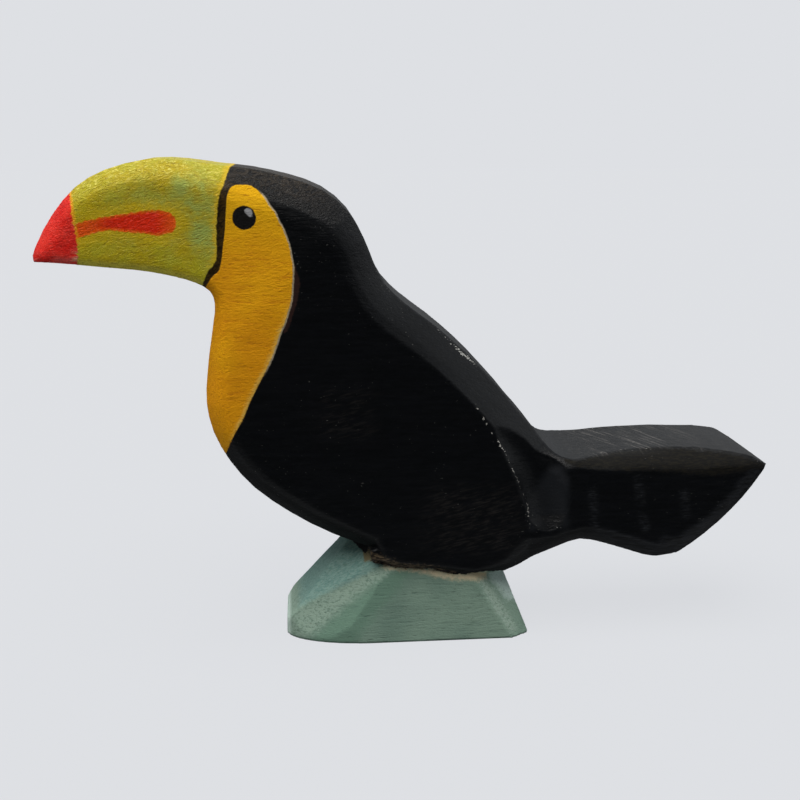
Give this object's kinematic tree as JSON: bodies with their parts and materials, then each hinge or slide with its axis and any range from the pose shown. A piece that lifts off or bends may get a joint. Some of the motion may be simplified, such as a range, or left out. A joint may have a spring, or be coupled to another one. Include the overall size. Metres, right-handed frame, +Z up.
{
  "type": "wooden toucan figurine",
  "caption": "Flat carved wooden toucan standing on a small faceted rock, hand-painted, with a large curved beak, a yellow bib and a raised tail.",
  "frame": {"origin": "on the ground, under the middle of the rock, halfway through the board", "axes": "+X from the beak towards the tail, +Y through the board towards the far side, +Z up"},
  "size_m": [0.175, 0.03, 0.1176],
  "materials": {
    "painted_wood": "matte"
  },
  "bodies": {
    "root": {"toucan": "painted_wood"}
  },
  "joints": []
}
